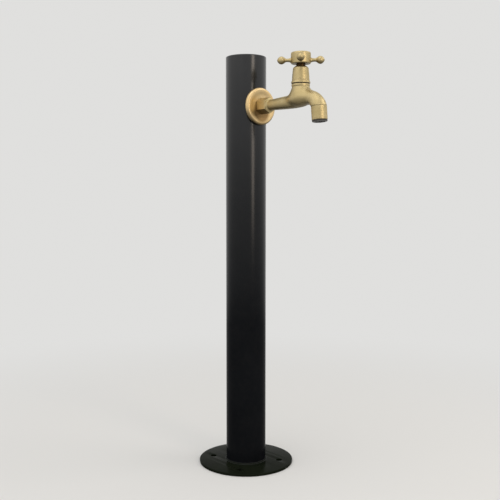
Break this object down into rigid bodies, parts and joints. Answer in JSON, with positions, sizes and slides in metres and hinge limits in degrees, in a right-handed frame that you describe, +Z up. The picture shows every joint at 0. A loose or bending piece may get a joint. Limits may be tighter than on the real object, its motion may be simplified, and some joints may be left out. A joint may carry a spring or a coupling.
{
  "type": "garden standpipe",
  "caption": "Free-standing round garden standpipe: a tube on a bolt-down base plate with a brass bib tap, cross handle and downturned spout near its top.",
  "frame": {"origin": "centre of the base plate's underside, which is the centre of the circle of anchor holes", "axes": "+Z up along the column, +X the way the tap points, +Y to the left of the tap seen from behind it"},
  "size_m": [0.243, 0.147, 0.632],
  "materials": {
    "black_coat": "black powder coat, fine satin texture",
    "antique_brass": "brushed antique brass",
    "dark_brass": "dark aged brass",
    "plain_brass": "machined brass",
    "copper": "drawn copper tube",
    "zinc_steel": "zinc-plated steel",
    "black_rubber": "moulded black rubber",
    "dark_fibre": "dark pressed fibre",
    "white_packing": "white packing ring",
    "dark_plastic": "dark moulded plastic"
  },
  "bodies": {
    "column": {"base_plate": "black_coat", "column_tube": "black_coat", "foot_weld": "black_coat", "top_cap": "black_coat", "socket_weld": "black_coat", "rosette": "antique_brass", "tap_body": "antique_brass", "headwork_cover": "antique_brass", "nozzle_collar": "antique_brass", "gland_nut": "dark_brass", "wall_elbow": "plain_brass", "lower_olive": "plain_brass", "upper_olive": "plain_brass", "lower_pipe_nut": "plain_brass", "upper_pipe_nut": "plain_brass", "backnut": "plain_brass", "headwork_body": "plain_brass", "riser_pipe": "copper", "inlet_socket": "zinc_steel", "inner_saddle": "zinc_steel", "saddle_gasket": "black_rubber", "collar_washer": "black_rubber", "head_washer": "dark_fibre", "gland_packing": "white_packing", "aerator_body": "dark_plastic", "aerator_screen": "dark_plastic"},
    "jumper": {"jumper_valve": "plain_brass", "seat_washer": "black_rubber", "washer_nut": "plain_brass"},
    "handle": {"spindle": "plain_brass", "handle_hub": "antique_brass", "handle_spoke_1": "antique_brass", "handle_spoke_2": "antique_brass", "handle_spoke_3": "antique_brass", "handle_spoke_4": "antique_brass", "handle_screw": "zinc_steel", "index_button": "antique_brass"}
  },
  "joints": [
    {"name": "jumper_lift", "type": "slide", "parent": "column", "child": "jumper", "axis": [0, 0, 1], "range_m": [0, 0.005]},
    {"name": "handle_turn", "type": "hinge", "parent": "jumper", "child": "handle", "pos_m": [0.1205, 0, 0.6], "axis": [0, 0, 1], "range_deg": [0, 720]}
  ],
  "couplings": [
    {"joint": "jumper_lift", "follows": "handle_turn", "m_per_rad": 0.00039788}
  ]
}
